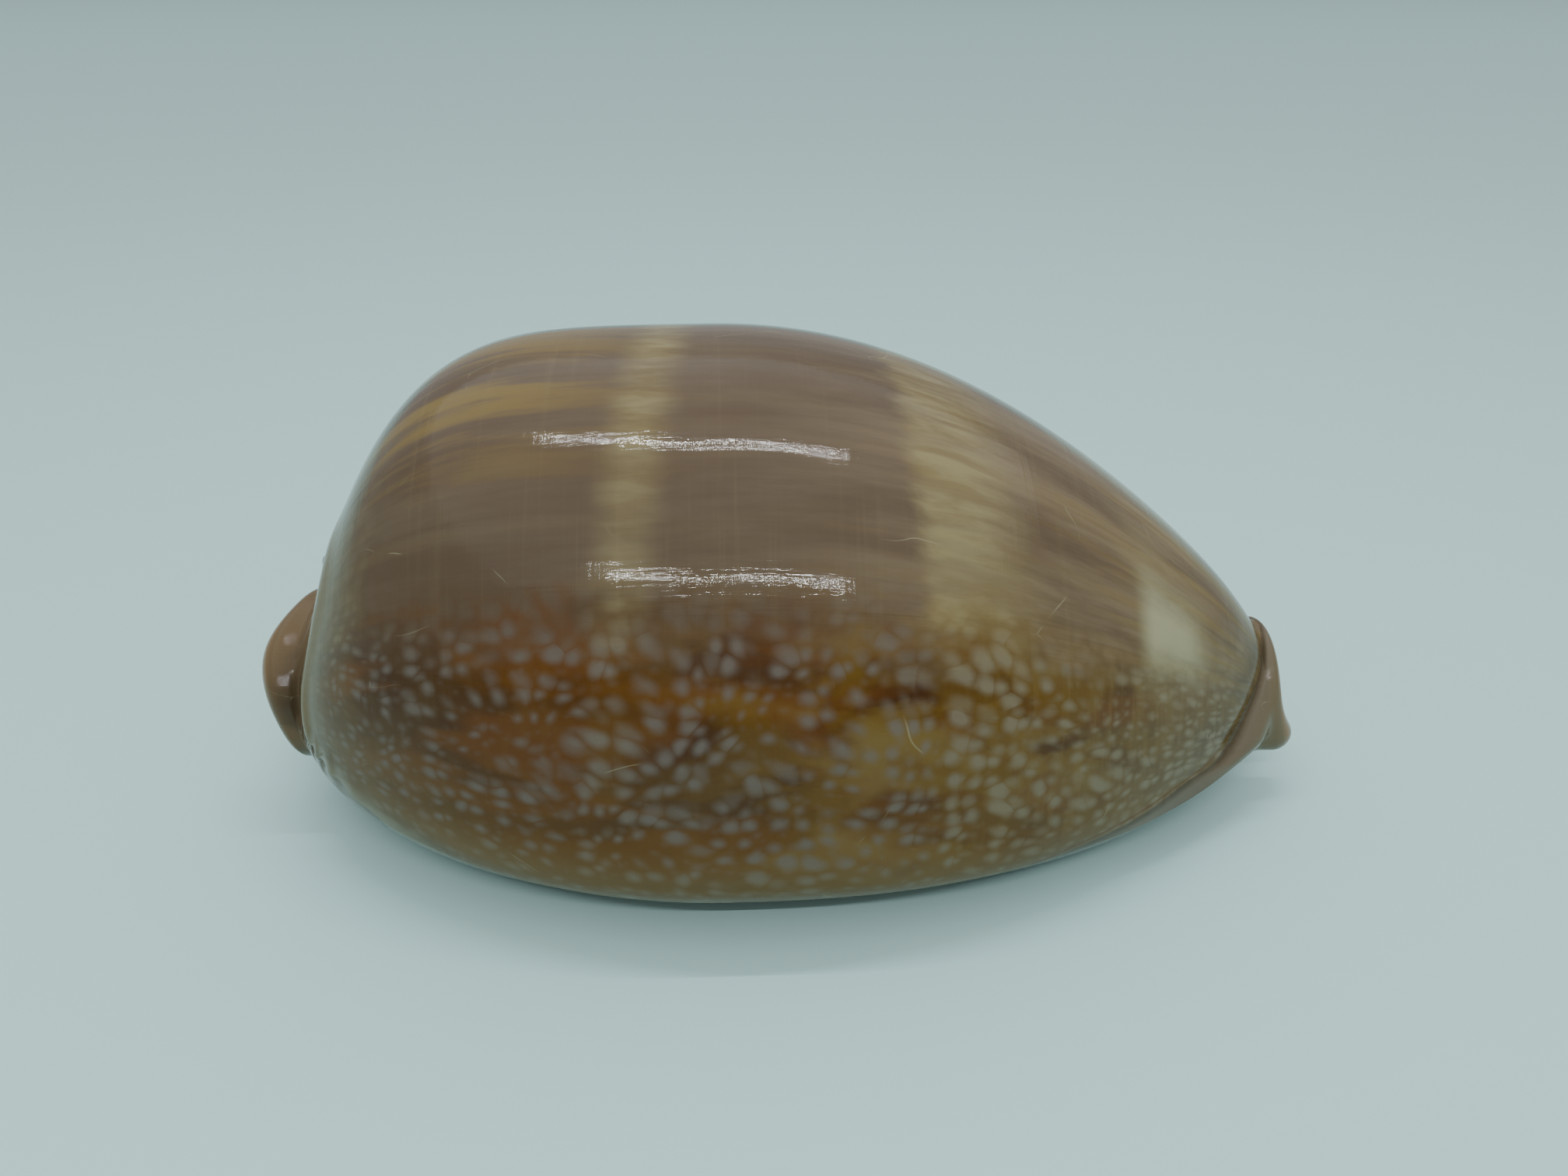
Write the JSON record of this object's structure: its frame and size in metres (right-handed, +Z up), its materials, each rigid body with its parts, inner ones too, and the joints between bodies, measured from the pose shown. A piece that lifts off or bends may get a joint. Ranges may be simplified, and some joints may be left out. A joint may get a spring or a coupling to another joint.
{
  "type": "atlantic deer cowrie shell",
  "caption": "Egg-shaped hollow cowrie shell with a toothed slit along its underside and an open canal at each end, lying on its base.",
  "frame": {"origin": "centre of the bounding box in plan, at the height of the surface the shell rests on", "axes": "+X to the narrow front (anterior) end, -Y to the outer lip's side, +Z up from the resting surface"},
  "size_m": [0.1104, 0.0662, 0.0497],
  "materials": {
    "enamel": "glossy natural shell enamel, brown with pale spots"
  },
  "bodies": {
    "root": {"shell": "enamel"}
  },
  "joints": []
}
